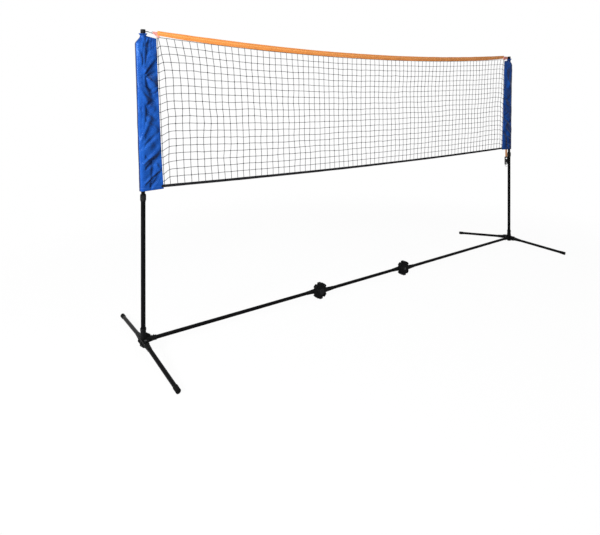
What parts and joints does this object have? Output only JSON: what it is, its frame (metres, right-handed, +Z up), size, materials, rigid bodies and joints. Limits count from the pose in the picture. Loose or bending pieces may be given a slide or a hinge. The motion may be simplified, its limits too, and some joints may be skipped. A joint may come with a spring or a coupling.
{
  "type": "portable badminton net",
  "caption": "Free-standing badminton net: folding base with castellated hubs, swivelling legs, telescopic posts, sleeved mesh net with a webbing top band.",
  "frame": {"origin": "on the floor at the centre of the bounding box of the set up net", "axes": "+X along the base bars and the net, +Y to the back legs, +Z up"},
  "size_m": [3.1536, 0.8898, 1.55],
  "materials": {
    "black_tube": "glossy black powder coat",
    "black_moulding": "satin moulded nylon",
    "rubber": "matt rubber",
    "twine": "knotted polyethylene twine",
    "orange_webbing": "woven webbing",
    "pale_webbing": "woven webbing",
    "pink_webbing": "woven webbing",
    "black_webbing": "woven tape",
    "blue_nylon": "crinkled nylon with a sheen",
    "zinc_steel": "zinc plated",
    "dark_wire": "coated wire"
  },
  "bodies": {
    "centre_base": {"centre_bar": "black_tube", "left_hub_inner_half": "black_moulding", "right_hub_inner_half": "black_moulding", "left_hub_rivet": "zinc_steel", "right_hub_rivet": "zinc_steel", "left_hub_spring": "zinc_steel", "right_hub_spring": "zinc_steel"},
    "left_base": {"left_bar": "black_tube", "left_hub_outer_half": "black_moulding", "left_base_fitting": "black_moulding", "left_leg_pins": "zinc_steel", "left_fitting_screws": "zinc_steel"},
    "right_base": {"right_bar": "black_tube", "right_hub_outer_half": "black_moulding", "right_base_fitting": "black_moulding", "right_leg_pins": "zinc_steel", "right_fitting_screws": "zinc_steel"},
    "left_hub_button": {"left_hub_button": "black_moulding"},
    "right_hub_button": {"right_hub_button": "black_moulding"},
    "uprights": {"left_lower_post": "black_tube", "right_lower_post": "black_tube", "left_post_collar": "black_moulding", "right_post_collar": "black_moulding"},
    "left_lock_ring": {"left_lock_ring": "black_moulding"},
    "right_lock_ring": {"right_lock_ring": "black_moulding"},
    "net_set": {"left_upper_post": "black_tube", "right_upper_post": "black_tube", "left_post_cap": "black_moulding", "right_post_cap": "black_moulding", "left_cap_hook": "dark_wire", "right_cap_hook": "dark_wire", "netting": "twine", "top_band": "orange_webbing", "bottom_hem": "black_webbing", "left_band_strap": "pink_webbing", "right_band_strap": "pink_webbing", "left_sleeve": "blue_nylon", "right_sleeve": "blue_nylon", "tension_strap": "pale_webbing", "buckle_frame": "black_moulding", "buckle_pin": "zinc_steel"},
    "buckle_lever": {"buckle_lever": "black_moulding"},
    "strap_ring": {"strap_ring": "zinc_steel"},
    "left_front_leg": {"left_front_knuckle": "black_moulding", "left_front_leg": "black_tube", "left_front_foot": "rubber"},
    "left_back_leg": {"left_back_knuckle": "black_moulding", "left_back_leg": "black_tube", "left_back_foot": "rubber"},
    "right_front_leg": {"right_front_knuckle": "black_moulding", "right_front_leg": "black_tube", "right_front_foot": "rubber"},
    "right_back_leg": {"right_back_knuckle": "black_moulding", "right_back_leg": "black_tube", "right_back_foot": "rubber"}
  },
  "joints": [
    {"name": "left_hub_fold", "type": "hinge", "parent": "centre_base", "child": "left_base", "pos_m": [-0.48153, 0.0074, 0.05], "axis": [0, -1, 0], "range_deg": [0, 170]},
    {"name": "left_hub_button_push", "type": "slide", "parent": "centre_base", "child": "left_hub_button", "axis": [0, 1, 0], "range_m": [0, 0.005], "stiffness_N_per_m": 900, "springref_m": -0.002, "deforming": ["left_hub_spring"]},
    {"name": "right_hub_fold", "type": "hinge", "parent": "centre_base", "child": "right_base", "pos_m": [0.22147, -0.0146, 0.05], "axis": [0, 1, 0], "range_deg": [0, 170]},
    {"name": "right_hub_button_push", "type": "slide", "parent": "centre_base", "child": "right_hub_button", "axis": [0, -1, 0], "range_m": [0, 0.005], "stiffness_N_per_m": 900, "springref_m": -0.002, "deforming": ["right_hub_spring"]},
    {"name": "left_front_leg_swing", "type": "hinge", "parent": "left_base", "child": "left_front_leg", "pos_m": [-1.54853, -0.0156, 0.05], "axis": [0, 0, -1], "range_deg": [-88.5, 13.5]},
    {"name": "left_back_leg_swing", "type": "hinge", "parent": "left_base", "child": "left_back_leg", "pos_m": [-1.54853, 0.0524, 0.05], "axis": [0, 0, 1], "range_deg": [-87, 15]},
    {"name": "right_front_leg_swing", "type": "hinge", "parent": "right_base", "child": "right_front_leg", "pos_m": [1.47147, -0.0596, 0.05], "axis": [0, 0, 1], "range_deg": [-102, 1]},
    {"name": "right_back_leg_swing", "type": "hinge", "parent": "right_base", "child": "right_back_leg", "pos_m": [1.47147, 0.0084, 0.05], "axis": [0, 0, -1], "range_deg": [-75, 28]},
    {"name": "posts_lift_out", "type": "slide", "parent": "centre_base", "child": "uprights", "axis": [0, 0, 1], "range_m": [0, 0.12]},
    {"name": "left_lock_ring_twist", "type": "hinge", "parent": "uprights", "child": "left_lock_ring", "pos_m": [-1.54853, 0.0184, 0.735], "axis": [0, 0, 1], "range_deg": [0, 120]},
    {"name": "right_lock_ring_twist", "type": "hinge", "parent": "uprights", "child": "right_lock_ring", "pos_m": [1.47147, -0.0256, 0.735], "axis": [0, 0, 1], "range_deg": [0, 120]},
    {"name": "net_height", "type": "slide", "parent": "uprights", "child": "net_set", "axis": [0, 0, 1], "range_m": [-0.5, 0]},
    {"name": "buckle_lever_lift", "type": "hinge", "parent": "net_set", "child": "buckle_lever", "pos_m": [1.43348, -0.02505, 0.7], "axis": [-0.9999, 0.0146, 0], "range_deg": [0, 100]},
    {"name": "strap_ring_swing", "type": "hinge", "parent": "net_set", "child": "strap_ring", "pos_m": [1.43348, -0.02505, 0.662], "axis": [-0.9999, 0.0146, 0], "range_deg": [-60, 60]}
  ]
}
